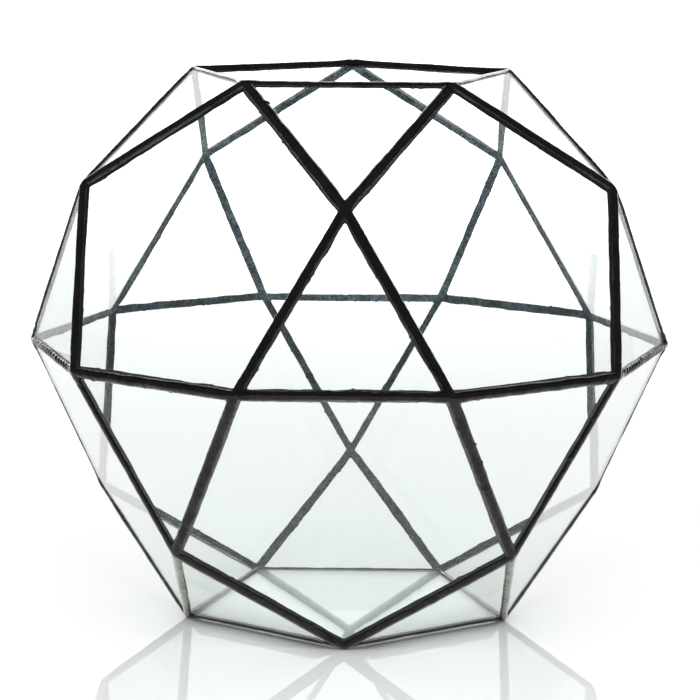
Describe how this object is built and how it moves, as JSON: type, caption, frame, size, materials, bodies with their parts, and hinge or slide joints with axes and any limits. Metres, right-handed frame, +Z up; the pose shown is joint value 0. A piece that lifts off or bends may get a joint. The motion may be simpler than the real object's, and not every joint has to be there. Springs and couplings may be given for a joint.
{
  "type": "geometric glass terrarium",
  "caption": "Open-topped geometric terrarium of flat clear glass pentagons and triangles joined by dark soldered seams, standing on a flat pentagon with its mouth opposite.",
  "frame": {"origin": "middle of the bounding box's underside, on the surface that the base seam stands on", "axes": "+Z up through the mouth; -Y is the front, with one corner of the base pentagon and one flat side of the mouth towards it; +X is to the right seen from the front, along the widest corner-to-corner line"},
  "size_m": [0.2598, 0.2472, 0.2213],
  "materials": {
    "glass": "clear float glass with a faint green cast, polished",
    "seam_metal": "black patina over hand-soldered tin, satin with fine ripples"
  },
  "bodies": {
    "root": {"shoulder_pane_1": "glass", "shoulder_pane_2": "glass", "shoulder_pane_3": "glass", "shoulder_pane_4": "glass", "shoulder_pane_5": "glass", "upper_pentagon_pane_1": "glass", "upper_pentagon_pane_2": "glass", "upper_pentagon_pane_3": "glass", "upper_pentagon_pane_4": "glass", "upper_pentagon_pane_5": "glass", "upper_triangle_pane_1": "glass", "upper_triangle_pane_2": "glass", "upper_triangle_pane_3": "glass", "upper_triangle_pane_4": "glass", "upper_triangle_pane_5": "glass", "lower_triangle_pane_1": "glass", "lower_triangle_pane_2": "glass", "lower_triangle_pane_3": "glass", "lower_triangle_pane_4": "glass", "lower_triangle_pane_5": "glass", "lower_pentagon_pane_1": "glass", "lower_pentagon_pane_2": "glass", "lower_pentagon_pane_3": "glass", "lower_pentagon_pane_4": "glass", "lower_pentagon_pane_5": "glass", "foot_pane_1": "glass", "foot_pane_2": "glass", "foot_pane_3": "glass", "foot_pane_4": "glass", "foot_pane_5": "glass", "base_pane": "glass", "mouth_rim": "seam_metal", "upper_seam_1": "seam_metal", "upper_seam_2": "seam_metal", "upper_seam_3": "seam_metal", "upper_seam_4": "seam_metal", "upper_seam_5": "seam_metal", "lower_seam_1": "seam_metal", "lower_seam_2": "seam_metal", "lower_seam_3": "seam_metal", "lower_seam_4": "seam_metal", "lower_seam_5": "seam_metal", "base_seam": "seam_metal"}
  },
  "joints": []
}
